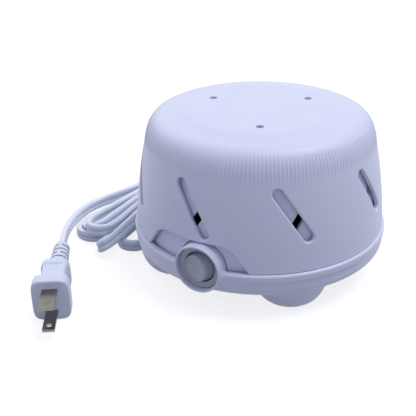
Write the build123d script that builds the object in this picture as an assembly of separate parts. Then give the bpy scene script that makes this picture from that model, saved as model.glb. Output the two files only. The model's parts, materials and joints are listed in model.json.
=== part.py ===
"""Fan-type white noise sound machine: a slotted cover turns on a vented housing over a motor and its fan.

Millimetres, +Z up. The origin is on the floor under the centre of the body, and the switch faces -Y.
"""

from build123d import *
from math import cos, hypot, pi, radians, sin, tan
import os

# ---- overall sizes ----
rim_radius = 73.0
rim_top = 27.8
shell_top = 93.1

# ---- turning cover ----
shell_wall = 2.2
shell_foot_radius = 71.6
shell_mid_radius = 69.0
shell_mid_height = 54.2
shell_shoulder_radius = 63.9
shell_shoulder_height = 80.5
plateau_radius = 41.0
plateau_drop = 1.1
plateau_slope_width = 6.5
band_radius = 54.0
band_drop = 2.0
slope_lean = (-1, 0.17)
band_lean = (-1, 0.12)
rim_gap = 0.4
cover_rest_turn = -4.8

slot_count = 8
slot_length = 33.8
slot_width = 5.6
slot_slant = 33.5
slot_height = 58.3
slot_edge_round = 0.8
slot_reach = 9.0

notch_top = 41.7
notch_half_width = 31.4
notch_side_slope = 55.0
notch_corner_round = 12.0
notch_foot_round = 2.5

top_hole_radius = 2.2
top_hole_circle = 31.2
top_hole_turns = (30.0, 150.0, 270.0)

pivot_radius = 6.0
pivot_play = 0.05
pivot_pilot_radius = 1.3
pivot_length = 6.6
washer_radius = 10.0
washer_thickness = 1.0
spring_gap = 0.2
recess_depth = 1.2
recess_arm_share = 0.6
recess_slim_share = 0.14
pivot_screw_radius = 1.3
pivot_head_radius = 3.0
pivot_head_height = 1.8

# ---- fixed housing ----
housing_gap = 1.0
housing_wall = 2.0
housing_foot = 20.0
vent_width = 4.6
vent_length = 34.0
vent_hole_radius = 2.6
vent_hole_turn = 14.0
boss_radius = 4.0
boss_top = 36.0
boss_rib = 2.0
collar_clearance = 0.6

# ---- base tray ----
base_wall = 2.4
base_floor = 2.2
base_side_radius = 72.3
base_underside = 9.2
base_corner_width = 27.6
base_corner_height = 9.8
lip_radius = 1.4
lip_band = 3.0
lip_blend = 0.7

foot_circle = 50.8
foot_turns = (45.0, 135.0, 225.0, 315.0)
foot_top_radius = 20.6
foot_flat_radius = 8.8
foot_top = 17.0
foot_blend = 5.0
pad_radius = 7.5
pad_thickness = 1.6
pad_stands_out = 0.8
tower_radius = 4.6
tower_top = 14.0
counterbore_radius = 3.6
counterbore_top = 7.0
housing_screw_radius = 1.6
housing_head_radius = 3.2
screw_clearance = 0.3

# ---- switch ----
switch_height = 27.8
collar_radius = 13.4
collar_bore = 12.2
collar_face = 74.5
collar_recess = 4.4
collar_plate = 2.2
collar_back = 64.0
collar_blend = 2.0
collar_edge_round = 0.45
collar_step = 1.0
barrel_radius = 10.0
barrel_play = 0.05
barrel_bore = 8.8
barrel_back = 62.0
frame_play = 0.2
frame_lip = 1.5
frame_dish = 0.7
frame_edge_round = 0.4
rocker_radius = 8.2
rocker_face_radius = 7.2
rocker_face = 73.7
rocker_hollow = 0.5
rocker_tilt = 16.0
rocker_pivot = 68.7
rocker_depth = 2.5
rocker_pin_radius = 1.0
rocker_pin_reach = 9.8
rocker_edge_round = 0.5
switch_body_radius = 9.6
switch_body_back = 48.0
terminal_offset = 4.2
terminal_width = 6.3
terminal_thickness = 0.8
terminal_length = 8.0
sleeve_size = (3.2, 13.0, 8.6)
sleeve_start = 0.5
sleeve_round = 1.2

# ---- motor ----
shaft_radius = 2.0
shaft_foot = 18.4
shaft_top = 78.0
stack_foot = 30.0
stack_height = 14.0
pole_half_width = 21.0
pole_half_depth = 18.0
leg_width = 10.0
window_depth = 19.0
coil_leg_depth = 10.0
stator_bore = 13.5
air_gap = 0.5
screw_offset = 17.2
motor_screw_radius = 1.5
end_ring_radius = 12.0
end_ring_height = 2.0
thrust_radius = 4.2
thrust_play = 0.3
coil_side_gap = 0.5
bobbin_wall = 1.2
bobbin_flange = 8.0
bobbin_flange_thickness = 1.2
winding_inset = 1.0
winding_round = 4.0
shading_wire = 2.0
shading_inner = 12.2
shading_seat = 15.5

strap_width = 14.0
strap_thickness = 1.2
strap_rise = 7.0
strap_flat = 10.0
strap_foot = 21.0
bush_radius = 4.0
bush_play = 0.05
bush_length = 6.0
bush_flange_radius = 5.4
bush_flange = 1.0
ear_offset = 30.0
ear_end = 37.0
grommet_radius = 6.0
grommet_neck = 3.6
grommet_below = 3.6
grommet_above = 3.0
mount_screw_radius = 1.6

# ---- fan ----
fan_radius = 34.0
fan_foot = 58.0
fan_disc = 1.6
fan_height = 17.0
fan_hub_radius = 6.0
fan_blade_count = 12
fan_blade_thickness = 1.4
fan_blade_lean = 25.0
fan_blade_overlap = 0.6
fan_blade_inset = 1.0
fan_edge = 0.2
clip_width = 2.5
clip_thickness = 0.8

# ---- mains cord ----
cord_diameter = 6.9
bushing_height = 20.0
bushing_radius = 6.5
bushing_neck = 5.0
bushing_face = 76.8
bushing_inset = 2.0
relief_length = 21.0
relief_radius = 5.6
relief_tip_radius = 4.4
relief_grooves = 4
relief_groove_width = 1.2
relief_groove_depth = 0.5
hank_bends = [
    (-103.0, -22.0, 14.0), (-83.0, -44.0, 6.5), (-77.0, 92.0, 9.5), (-92.0, 111.0, 9.5), (-107.0, 98.0, 9.5),
]
hank_height = 14.0
hank_round = 5.0
cord_lie = cord_diameter / 2
feed_route = [
    (0.0, 116.0, bushing_height), (-4.0, 135.0, 14.0), (-14.0, 149.0, 7.5), (-30.0, 155.0, 4.0),
    (-47.0, 149.0, cord_lie), (-59.0, 132.0, cord_lie), (-63.5, 109.0, cord_lie), (-63.0, 84.0, cord_lie),
    (-61.5, 57.0, cord_lie), (-61.5, 28.0, cord_lie), (-62.2, 4.0, cord_lie), (-62.0, -12.0, cord_lie),
    (-62.9, -25.0, cord_lie), (-67.8, -32.8, cord_lie), (-76.0, -34.4, cord_lie), (-82.3, -28.6, cord_lie),
    (-83.8, -17.0, cord_lie),
]
lead_route = [
    (-104.8, 50.0, 10.0), (-105.6, 37.0, 9.6), (-109.0, 26.0, 8.2), (-115.5, 17.0, 6.2), (-121.5, 9.0, 4.5),
    (-125.6, -2.0, cord_lie), (-125.0, -15.0, 3.6), (-120.5, -28.5, 5.0), (-113.0, -42.0, 7.8),
]
lead_last_run = 13.0
wire_radius = 1.1
wire_pitch = 1.3
wire_lift = 0.6
cap_radius = 3.6
cap_tip_radius = 2.88
cap_length = 15.0
cap_x = 24.0
cap_y = 50.0
arc_share = 0.45

plug_face = (-65.1, -113.7, 12.2)
plug_back = (-80.8, -89.6, 12.2)
plug_front = (20.0, 24.0, 4.0)  # width, height and corner radius
plug_front_depth = 8.0
plug_waist = (13.2, 17.0, 1.8)
plug_flange = (15.8, 19.0, 2.6)
plug_flange_depth = 5.0
plug_taper_depth = 2.5
plug_relief_length = 27.0
plug_relief_radius = 5.8
plug_relief_tip = 4.6
plug_grooves = 5
plug_groove_width = 1.5
plug_groove_depth = 0.8
plug_groove_start = 0.7
plug_groove_end = 0.7
blade_gap = 12.7
blade_length = 18.3
blade_thickness = 1.5
blade_wide = 7.9
blade_narrow = 6.35
blade_tip_bevel = 0.45
blade_corner_bevel = 0.8
blade_hole_radius = 1.6
blade_hole_to_tip = 4.6

front_plane = Plane(origin=(0, 0, switch_height), x_dir=(1, 0, 0), z_dir=(0, -1, 0))
rear_plane = Plane(origin=(0, 0, bushing_height), x_dir=(1, 0, 0), z_dir=(0, 1, 0))
bushing_inner = base_side_radius - base_wall - bushing_inset
cord_exit = bushing_face + relief_length
thrust_height = strap_rise + strap_thickness + bush_flange - bush_length - thrust_play
strap_seat = stack_foot - strap_thickness
notch_depth = notch_top - rim_top
standing = (Align.CENTER, Align.CENTER, Align.MIN)


def ring_places(radius, turns):
    """Points on a circle about Z; a turn of 0 is at the front (-Y) and grows towards +X."""
    return [(radius * sin(radians(turn)), -radius * cos(radians(turn))) for turn in turns]


def post(radius, foot, top, x=0.0, y=0.0):
    """Upright cylinder between two heights."""
    return Pos(x, y, foot) * Cylinder(radius, top - foot, align=standing)


def tube(radius, bore, foot, top, x=0.0, y=0.0):
    """Upright ring between two heights."""
    return post(radius, foot, top, x, y) - post(bore, foot, top, x, y)


def front_post(radius, back, front):
    """Cylinder along the switch axis, from y = -back forwards to y = -front."""
    return front_plane * Pos(0, 0, back) * Cylinder(radius, front - back, align=standing)


def rear_post(radius, start, end):
    """Cylinder along the cord's axis, from y = start to y = end."""
    return rear_plane * Pos(0, 0, start) * Cylinder(radius, end - start, align=standing)


def block(x0, x1, y0, y1, z0, z1):
    """Box from its limits."""
    return Pos((x0 + x1) / 2, (y0 + y1) / 2, (z0 + z1) / 2) * Box(x1 - x0, y1 - y0, z1 - z0)


def turned(lines):
    """Solid of revolution about Z from a closed outline in the XZ plane."""
    return revolve(Plane.XZ * make_face(lines), Axis.Z)


def quarter_bowl(centre, width, height):
    """Elliptical quarter from straight down to straight out."""
    return EllipticalCenterArc(centre, width, height, start_angle=270, arc_size=90)


def shell_wall_arc(inset):
    """Outer line of the cover's side wall, shrunk by an inset."""
    return ThreePointArc((shell_foot_radius - inset, rim_top), (shell_mid_radius - inset, shell_mid_height),
                         (shell_shoulder_radius - inset, shell_shoulder_height))


def bell(inset, foot):
    """Filled outer form of the cover, shrunk by an inset; the housing uses the same form."""
    top = shell_top - inset
    wall = shell_wall_arc(inset)
    lean = wall % 1
    slope_end = (plateau_radius + plateau_slope_width, top - plateau_drop)
    band_end = (band_radius - inset / 2, top - band_drop)
    foot_radius = shell_foot_radius - inset
    lines = [
        wall,
        Spline(wall @ 1, band_end, tangents=((lean.X, lean.Y), band_lean), tangent_scalars=(1.35, 1.0)),
        Spline(band_end, slope_end, tangents=(band_lean, slope_lean)),
        Line(slope_end, (plateau_radius, top)),
        Line((plateau_radius, top), (0, top)),
        Line((0, top), (0, foot)),
        Line((0, foot), (foot_radius, foot)),
    ]
    if foot < rim_top:
        lines.append(Line((foot_radius, foot), (foot_radius, rim_top)))
    return turned(lines)


def wall_slots(width, length, slant):
    """Slanted round-ended cutters standing through the side wall, one at each pitch."""
    cutters = []
    for index in range(slot_count):
        angle = radians(index * 360 / slot_count)
        outward = (sin(angle), -cos(angle), 0)
        tangent = (cos(angle), sin(angle), 0)
        centre = (shell_mid_radius * sin(angle), -shell_mid_radius * cos(angle), slot_height)
        outline = Plane(origin=centre, x_dir=tangent, z_dir=outward) * Rot(0, 0, 90 + slant) * SlotOverall(
            length, width)
        cutters.append(extrude(outline, amount=slot_reach, both=True))
    return cutters


def on_wall(point):
    """Whether a point lies on the cover's outer side wall."""
    if not rim_top <= point.Z <= shell_shoulder_height:
        return False
    arc = shell_wall_arc(0)
    low, high = 0.0, 1.0
    for _ in range(30):
        middle = (low + high) / 2
        if (arc @ middle).Y < point.Z:
            low = middle
        else:
            high = middle
    return abs(hypot(point.X, point.Y) - (arc @ low).X) < 0.05


def wall_edges(body, low, high):
    """Edges that a cut left on the outer side wall between two heights."""
    found = []
    for edge in body.edges():
        box = edge.bounding_box()
        if box.min.Z < low or box.max.Z > high:
            continue
        if all(on_wall(edge @ share) for share in (0.1, 0.5, 0.9)):
            found.append(edge)
    return found


def notch_cutter():
    """Round-shouldered opening that clears the switch collar."""
    lean = notch_depth / tan(radians(notch_side_slope))
    top_half = notch_half_width - lean
    below = 10.0
    outline = Polyline(
        (-notch_half_width - 2 * below, rim_top - below), (-notch_half_width, rim_top), (-top_half, notch_top),
        (top_half, notch_top), (notch_half_width, rim_top), (notch_half_width + 2 * below, rim_top - below),
        close=True)
    face = Plane.XZ * make_face(outline)
    corners = [vertex for vertex in face.vertices() if vertex.Z > notch_top - 0.1]
    face = fillet(corners, notch_corner_round)
    feet = [vertex for vertex in face.vertices() if abs(vertex.Z - rim_top) < 0.1]
    face = fillet(feet, notch_foot_round)
    return extrude(face, amount=shell_foot_radius + 5)


def make_outer_shell():
    """Turning cover: slotted bell with a notch for the switch, three top holes and a pivot boss."""
    shell = bell(0, rim_top) - bell(shell_wall, housing_foot)
    shell -= post(rim_radius, rim_top - 1, rim_top + rim_gap)
    for cutter in wall_slots(slot_width, slot_length, slot_slant):
        shell -= cutter
    shell -= notch_cutter()
    for x, y in ring_places(top_hole_circle, top_hole_turns):
        shell -= post(top_hole_radius, shell_top - 2 * shell_wall, shell_top + 1, x, y)
    cut_edges = wall_edges(shell, rim_top + rim_gap + 0.01, slot_height + slot_length / 2)
    shell = fillet(cut_edges, slot_edge_round)
    under = shell_top - shell_wall
    boss = post(pivot_radius, under - pivot_length, under + shell_wall / 2)
    boss -= post(pivot_pilot_radius, under - pivot_length, under - shell_wall / 4)
    return Rot(0, 0, cover_rest_turn) * (shell + boss)


def make_pivot_parts():
    """Washer and screw under the pivot boss, and the spring ring that gives the cover its drag."""
    boss_foot = shell_top - shell_wall - pivot_length
    washer = tube(washer_radius, pivot_screw_radius, boss_foot - washer_thickness, boss_foot)
    head_top = boss_foot - washer_thickness
    screw = post(pivot_screw_radius, head_top, boss_foot + pivot_length - shell_wall)
    screw += post(pivot_head_radius, head_top - pivot_head_height, head_top)
    screw -= cross_recess(head_top - pivot_head_height, pivot_head_radius, upward=True)
    housing_under = shell_top - shell_wall - housing_gap - housing_wall
    spring = tube(washer_radius - 1, pivot_radius + 1, boss_foot + spring_gap, housing_under - spring_gap)
    return washer, screw, spring


def cross_recess(face, head_radius, upward=False, x=0.0, y=0.0):
    """Cross-shaped driver recess in a screw head whose face is at a height."""
    low, high = (face, face + recess_depth) if upward else (face - recess_depth, face)
    arm = head_radius * recess_arm_share
    slim = head_radius * recess_slim_share
    return (block(x - arm, x + arm, y - slim, y + slim, low, high)
            + block(x - slim, x + slim, y - arm, y + arm, low, high))


def make_inner_housing():
    """Fixed housing: slots slant the other way, with bosses that stand on the base's towers."""
    inset = shell_wall + housing_gap
    housing = bell(inset, housing_foot) - bell(inset + housing_wall, housing_foot - 1)
    for cutter in wall_slots(vent_width, vent_length, -slot_slant):
        housing -= cutter
    housing -= front_post(collar_radius + collar_clearance, collar_back - 20, collar_face)
    reach = collar_radius + collar_clearance
    housing -= block(-reach, reach, -collar_face, -collar_back + 10, housing_foot - 1, switch_height)
    neck = bushing_neck + collar_clearance
    housing -= rear_post(neck, bushing_inner - 10, bushing_face)
    housing -= block(-neck, neck, bushing_inner - 10, bushing_face, housing_foot - 1, bushing_height)
    top = shell_top - inset
    for x, y in ring_places(top_hole_circle, [turn + vent_hole_turn for turn in top_hole_turns]):
        housing -= post(vent_hole_radius, top - 2 * housing_wall, top + 1, x, y)
    housing -= post(pivot_radius + pivot_play, top - 2 * housing_wall, top + 1)
    wall_inside = shell_foot_radius - inset - housing_wall
    for turn in foot_turns:
        x, y = ring_places(foot_circle, [turn])[0]
        rib = block(-boss_rib / 2, boss_rib / 2, -wall_inside - housing_wall / 2, -foot_circle,
                    housing_foot + 4, boss_top)
        housing += Rot(0, 0, turn) * rib
        housing += post(boss_radius, tower_top, boss_top, x, y)
    for x, y in ring_places(foot_circle, foot_turns):
        housing -= post(housing_screw_radius, tower_top, boss_top - 3, x, y)
    return housing


def bowl(inset, under, top):
    """Filled bowl of the base, shrunk by an inset, up to a height."""
    side = base_side_radius - inset
    flat = base_side_radius - base_corner_width
    shoulder = base_underside + base_corner_height
    return turned([
        Line((0, under), (flat, under)),
        quarter_bowl((flat, shoulder), side - flat, shoulder - under),
        Line((side, shoulder), (side, top)),
        Line((side, top), (0, top)),
        Line((0, top), (0, under)),
    ])


def foot_lobes(inset, foot):
    """The four round feet, filled, shrunk by an inset."""
    flat = foot_flat_radius - inset / 2
    side = foot_top_radius - inset
    top = foot_top + 2
    one = turned([
        Line((0, foot), (flat, foot)),
        quarter_bowl((flat, foot_top), side - flat, foot_top - foot),
        Line((side, foot_top), (side, top)),
        Line((side, top), (0, top)),
        Line((0, top), (0, foot)),
    ])
    return [Pos(x, y, 0) * one for x, y in ring_places(foot_circle, foot_turns)]


def rim_band():
    """Filled disc with the rounded lip that stands out above the bowl."""
    lip_height = rim_top - lip_radius
    foot = lip_height - lip_band
    return turned([
        Line((0, foot), (base_side_radius, foot)),
        Line((base_side_radius, foot), (rim_radius, foot + lip_blend)),
        Line((rim_radius, foot + lip_blend), (rim_radius, lip_height)),
        CenterArc((rim_radius - lip_radius, lip_height), lip_radius, start_angle=0, arc_size=90),
        Line((rim_radius - lip_radius, rim_top), (0, rim_top)),
        Line((0, rim_top), (0, foot)),
    ])


def lobe_edges(body):
    """Edges where the round feet meet the outside of the bowl."""
    found = []
    for edge in body.edges():
        box = edge.bounding_box()
        rises = box.max.Z - box.min.Z > 0.5
        in_reach = box.min.Z > base_underside - 0.1 and box.max.Z < foot_top + 3
        if rises and in_reach and edge.geom_type == GeomType.BSPLINE:
            found.append(edge)
    return found


def collar_edges(body):
    """Edges where the switch collar meets the outside of the base."""
    found = []
    for edge in body.edges():
        points = [edge @ share for share in (0.1, 0.5, 0.9)]
        round_collar = all(abs(hypot(p.X, p.Z - switch_height) - collar_radius) < 0.02 for p in points)
        level = abs(edge.bounding_box().size.Y) < 0.01
        if round_collar and not level and points[1].Y < -collar_back and edge.geom_type != GeomType.LINE:
            found.append(edge)
    return found


def make_base_tray():
    """Base: bowl with a lipped rim, four hollow feet, the switch collar, posts and towers."""
    base = bowl(0, base_underside, rim_top - lip_radius - lip_band) + rim_band()
    for lobe in foot_lobes(0, pad_stands_out):
        base += lobe
    base = fillet(lobe_edges(base), foot_blend)
    keep = front_post(collar_radius, collar_back, collar_face)
    base = fillet(collar_edges(base + keep), collar_blend)
    hollow = bowl(base_wall, base_underside + base_floor, rim_top + 1)
    for lobe in foot_lobes(base_wall, pad_stands_out + base_floor):
        hollow += lobe
    base -= hollow - keep
    base -= front_post(collar_bore, collar_face - collar_recess, collar_face)
    base -= front_post(barrel_radius + barrel_play, collar_back, collar_face)
    base -= front_post(collar_bore - collar_step, collar_back, collar_face - collar_recess - collar_plate)
    rims = [edge for edge in base.edges() if edge.geom_type == GeomType.CIRCLE
            and abs(edge.center().Y + collar_face) < 0.01 and edge.length > 6 * collar_bore]
    base = fillet(rims, collar_edge_round)
    floor = base_underside + base_floor
    for x, y in ring_places(foot_circle, foot_turns):
        base += post(tower_radius, pad_stands_out + base_floor, tower_top, x, y)
    for x in (-ear_offset, ear_offset):
        base += tube(grommet_radius - 0.5, mount_screw_radius, floor - base_floor / 2, strap_seat - grommet_below,
                     x, 0)
    for x, y in ring_places(foot_circle, foot_turns):
        base -= post(pad_radius, 0, pad_thickness, x, y)
        base -= post(counterbore_radius, 0, counterbore_top, x, y)
        base -= post(housing_screw_radius + screw_clearance, 0, tower_top, x, y)
    return base - rear_post(bushing_neck, bushing_inner - 5, bushing_face)


def make_foot_pads():
    """Rubber pads in the four feet."""
    pads = [post(pad_radius, 0, pad_thickness, x, y) for x, y in ring_places(foot_circle, foot_turns)]
    return [chamfer(pad.edges().group_by(Axis.Z)[0], 0.3) for pad in pads]


def make_housing_screws():
    """Screws up through the feet into the housing's bosses."""
    screws = []
    for x, y in ring_places(foot_circle, foot_turns):
        head_top = counterbore_top
        screw = post(housing_screw_radius, head_top, boss_top - 6, x, y)
        screw += post(housing_head_radius, head_top - 2, head_top, x, y)
        screw -= cross_recess(head_top - 2, housing_head_radius, True, x, y)
        screws.append(screw)
    return screws


def make_switch_frame():
    """Grey ring and barrel that snap into the collar; the ring is dished towards the rocker."""
    seat = collar_face - collar_recess
    lip = seat + frame_lip
    side = collar_bore - frame_play
    edge = frame_edge_round
    frame = front_plane * revolve(Plane.XZ * make_face([
        Line((barrel_bore, barrel_back), (barrel_radius, barrel_back)),
        Line((barrel_radius, barrel_back), (barrel_radius, seat)),
        Line((barrel_radius, seat), (side, seat)),
        Line((side, seat), (side, lip - edge)),
        CenterArc((side - edge, lip - edge), edge, start_angle=0, arc_size=90),
        Line((side - edge, lip), (barrel_bore, lip - frame_dish)),
        Line((barrel_bore, lip - frame_dish), (barrel_bore, barrel_back)),
    ]), Axis.Z)
    pin_hole = Pos(0, -rocker_pivot, switch_height) * Cylinder(rocker_pin_radius + pivot_play,
                                                               2 * barrel_radius + 1)
    return frame - pin_hole


def make_switch_body():
    """Black rear of the switch with two terminal seats."""
    body = front_post(switch_body_radius, switch_body_back, barrel_back)
    return fillet(body.edges().group_by(Axis.Y)[-1], 1.0)


def make_rocker():
    """Round tapered rocker with a hollow face, pivoted on upright pins and tilted to its rest position."""
    rise = rocker_face + rocker_hollow - rocker_pivot
    hollow_radius = (rocker_face_radius ** 2 + rocker_hollow ** 2) / (2 * rocker_hollow)
    rocker = front_post(rocker_radius, rocker_pivot - rocker_depth, rocker_pivot)
    rocker += front_plane * Pos(0, 0, rocker_pivot) * Cone(rocker_radius, rocker_face_radius, rise, align=standing)
    rocker -= Pos(0, -rocker_face - hollow_radius, switch_height) * Cylinder(hollow_radius, 4 * rocker_radius)
    front_edges = [edge for edge in rocker.edges() if edge.bounding_box().max.Y < -rocker_face + rocker_hollow]
    rocker = fillet(front_edges, rocker_edge_round)
    rocker += Pos(0, -rocker_pivot, switch_height) * Cylinder(rocker_pin_radius, 2 * rocker_pin_reach)
    pivot = Axis((0, -rocker_pivot, 0), (0, 0, 1))
    return rocker.rotate(pivot, -rocker_tilt)


def make_switch_terminals():
    """Two brass tabs and the insulating sleeves on them."""
    tabs, sleeves = [], []
    wide, long, high = sleeve_size
    for x in (-terminal_offset, terminal_offset):
        tab = block(x - terminal_thickness / 2, x + terminal_thickness / 2, -switch_body_back,
                    -switch_body_back + terminal_length, switch_height - terminal_width / 2,
                    switch_height + terminal_width / 2)
        sleeve_front = -switch_body_back + sleeve_start
        sleeve = block(x - wide / 2, x + wide / 2, sleeve_front, sleeve_front + long,
                       switch_height - high / 2, switch_height + high / 2)
        sleeve = fillet(sleeve.edges().filter_by(Axis.Y), sleeve_round)
        tabs.append(tab)
        sleeves.append(sleeve - tab)
    return tabs, sleeves


def make_stator_core():
    """Laminated stator: pole body round the bore, two legs and the coil leg."""
    low, high = stack_foot, stack_foot + stack_height
    leg_end = pole_half_depth + window_depth
    core = block(-pole_half_width, pole_half_width, -pole_half_depth, leg_end + coil_leg_depth, low, high)
    core -= block(-pole_half_width + leg_width, pole_half_width - leg_width, pole_half_depth, leg_end, low, high)
    core -= post(stator_bore, low, high)
    for x in (-screw_offset, screw_offset):
        core -= post(motor_screw_radius, low, high, x, 0)
    for side in (1, -1):
        x0 = side * shading_inner
        x1 = side * (shading_inner + shading_wire)
        y0 = -side * shading_seat
        y1 = -side * (shading_seat + shading_wire)
        core -= block(min(x0, x1), max(x0, x1), min(y0, y1), max(y0, y1), low, high)
    return core


def make_shading_rings():
    """Copper loops round a corner of each pole."""
    rings = []
    low, high = stack_foot - shading_wire, stack_foot + stack_height + shading_wire
    for side in (1, -1):
        x0 = side * shading_inner
        x1 = side * (pole_half_width + shading_wire)
        y0 = -side * shading_seat
        y1 = -side * (shading_seat + shading_wire)
        ys = (min(y0, y1), max(y0, y1))
        outer = block(min(x0, x1), max(x0, x1), *ys, low, high)
        inner = block(min(x0, x1) + shading_wire, max(x0, x1) - shading_wire, *ys, low + shading_wire,
                      high - shading_wire)
        rings.append(outer - inner)
    return rings


def make_coil():
    """Bobbin on the coil leg and the winding between its flanges."""
    leg_front = pole_half_depth + window_depth
    leg_back = leg_front + coil_leg_depth
    low, high = stack_foot, stack_foot + stack_height
    half = pole_half_width - leg_width - coil_side_gap
    core_leg = block(-half, half, leg_front, leg_back, low, high)
    sleeve = block(-half, half, leg_front - bobbin_wall, leg_back + bobbin_wall, low - bobbin_wall,
                   high + bobbin_wall)
    bobbin = sleeve
    grow = bobbin_wall + bobbin_flange
    for x in (-half, half - bobbin_flange_thickness):
        flange = block(x, x + bobbin_flange_thickness, leg_front - grow, leg_back + grow, low - grow, high + grow)
        bobbin += fillet(flange.edges().filter_by(Axis.X), 2.0)
    grow -= winding_inset
    inside = half - bobbin_flange_thickness
    winding = block(-inside, inside, leg_front - grow, leg_back + grow, low - grow, high + grow)
    winding = fillet(winding.edges().filter_by(Axis.X), winding_round) - sleeve
    return bobbin - core_leg, winding


def bent_strap(mirrored, foot_reach):
    """Pressed steel strap across the stack, with a raised middle for its bearing."""
    rise = -strap_rise if mirrored else strap_rise
    thick = -strap_thickness if mirrored else strap_thickness
    seat = stack_foot if mirrored else stack_foot + stack_height
    slope_end = stator_bore + 0.5
    lower = [(-foot_reach, seat), (-slope_end, seat), (-strap_flat, seat + rise), (strap_flat, seat + rise),
             (slope_end, seat), (foot_reach, seat)]
    upper = [(x, z + thick) for x, z in reversed(lower)]
    outline = make_face(Polyline(*lower, *upper, close=True))
    strap = extrude(Plane.XZ * outline, amount=strap_width / 2, both=True)
    strap -= post(bush_radius, seat - 3 * strap_rise, seat + 3 * strap_rise)
    for x in (-screw_offset, screw_offset):
        strap -= post(motor_screw_radius, seat - 3, seat + 3, x, 0)
    return strap


def make_brackets():
    """Upper bracket, and the longer lower one whose ears sit in the grommets."""
    upper = bent_strap(False, strap_foot)
    lower = bent_strap(True, ear_end)
    for x in (-ear_offset, ear_offset):
        lower -= post(grommet_neck, stack_foot - 5, stack_foot + 5, x, 0)
    return upper, lower


def make_bearing_bushes():
    """Flanged bronze bushes, one in each bracket."""
    bushes = []
    for seat, way in ((stack_foot + stack_height + strap_rise, 1), (stack_foot - strap_rise, -1)):
        face = seat + way * strap_thickness
        flange_end = face + way * bush_flange
        inner_end = flange_end - way * bush_length
        body = tube(bush_radius, shaft_radius + bush_play, min(flange_end, inner_end), max(flange_end, inner_end))
        body += tube(bush_flange_radius, bush_radius - 0.5, min(face, flange_end), max(face, flange_end))
        bushes.append(body)
    return bushes


def make_motor_screws():
    """Through screws that clamp the stack between the brackets, and their nuts."""
    screws, nuts = [], []
    head_face = stack_foot + stack_height + strap_thickness
    nut_face = stack_foot - strap_thickness
    for x in (-screw_offset, screw_offset):
        screw = post(motor_screw_radius, nut_face - 4, head_face, x, 0)
        screw += post(motor_screw_radius * 1.8, head_face, head_face + 2, x, 0)
        screws.append(screw - cross_recess(head_face + 2, motor_screw_radius * 1.8, False, x, 0))
        nut = extrude(RegularPolygon(motor_screw_radius * 1.9, 6), amount=2.4)
        nuts.append(Pos(x, 0, nut_face - 2.4) * nut - post(motor_screw_radius, nut_face - 3, nut_face, x, 0))
    return screws, nuts


def make_mounts():
    """Rubber grommets on the lower bracket's ears, and the screws through them into the base's posts."""
    grommets, screws = [], []
    ear_foot, ear_top = strap_seat, stack_foot
    for x in (-ear_offset, ear_offset):
        grommet = tube(grommet_radius, mount_screw_radius, ear_foot - grommet_below, ear_foot, x, 0)
        grommet += tube(grommet_neck, mount_screw_radius, ear_foot, ear_top, x, 0)
        grommet += tube(grommet_radius, mount_screw_radius, ear_top, ear_top + grommet_above, x, 0)
        grommets.append(grommet)
        head_foot = ear_top + grommet_above
        screw = post(mount_screw_radius, base_underside + base_floor + 2, head_foot, x, 0)
        screw += post(mount_screw_radius * 2, head_foot, head_foot + 2.2, x, 0)
        screws.append(screw - cross_recess(head_foot + 2.2, mount_screw_radius * 2, False, x, 0))
    return grommets, screws


def make_rotor():
    """Rotor stack, its cast end rings, the shaft and the thrust washers."""
    low, high = stack_foot, stack_foot + stack_height
    core = tube(stator_bore - air_gap, shaft_radius, low, high)
    rings = [tube(end_ring_radius, shaft_radius + 3, low - end_ring_height, low),
             tube(end_ring_radius, shaft_radius + 3, high, high + end_ring_height)]
    shaft = post(shaft_radius, shaft_foot, shaft_top)
    shaft = chamfer(shaft.edges().filter_by(GeomType.CIRCLE), 0.3)
    washers = [tube(thrust_radius, shaft_radius, low - thrust_height, low),
               tube(thrust_radius, shaft_radius, high, high + thrust_height)]
    return core, rings, shaft, washers


def make_fan():
    """Fan wheel with leaning blades on a disc, and the push-on clip above its hub."""
    disc_top = fan_foot + fan_disc
    fan = tube(fan_radius, shaft_radius, fan_foot, disc_top)
    fan += tube(fan_hub_radius, shaft_radius, disc_top, fan_foot + fan_height)
    blade_span = fan_radius - fan_hub_radius - fan_blade_inset
    blade = block(0, fan_blade_thickness, -blade_span, 0, disc_top - fan_blade_overlap,
                  fan_foot + fan_height - fan_blade_inset)
    blade = Pos(0, -fan_hub_radius + fan_blade_overlap, 0) * blade
    blade = blade.rotate(Axis((0, -fan_radius / 2, 0), (0, 0, 1)), fan_blade_lean)
    keep = tube(fan_radius - fan_edge, fan_hub_radius - fan_blade_overlap, fan_foot, fan_foot + fan_height)
    for index in range(fan_blade_count):
        fan += (Rot(0, 0, index * 360 / fan_blade_count) * blade) & keep
    clip_foot = fan_foot + fan_height
    clip = tube(shaft_radius + clip_width, shaft_radius, clip_foot, clip_foot + clip_thickness)
    return fan, clip


def cord_path(points):
    """Straight runs joined by arcs as large as their runs allow; also returns the arcs' radii."""
    places = [Vector(*point) for point in points]
    radii = []
    for before, here, after in zip(places, places[1:], places[2:]):
        turn = (here - before).get_angle(after - here)
        shorter = min((here - before).length, (after - here).length)
        radii.append(arc_share * shorter / tan(radians(turn) / 2))
    return FilletPolyline(*points, radius=radii), radii


def round_lead(points, radius, name=None):
    """Round tube along a route; the name's radii are printed."""
    path, radii = cord_path(points)
    section = Plane(origin=path @ 0, z_dir=path % 0) * Circle(radius)
    lead = sweep(section, path=path)
    if name:
        print(name, "length", round(path.length, 1), "radii", [round(value, 1) for value in radii])
        print(name, "volume over section times length", round(lead.volume / (pi * radius ** 2 * path.length), 4))
    return lead


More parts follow.
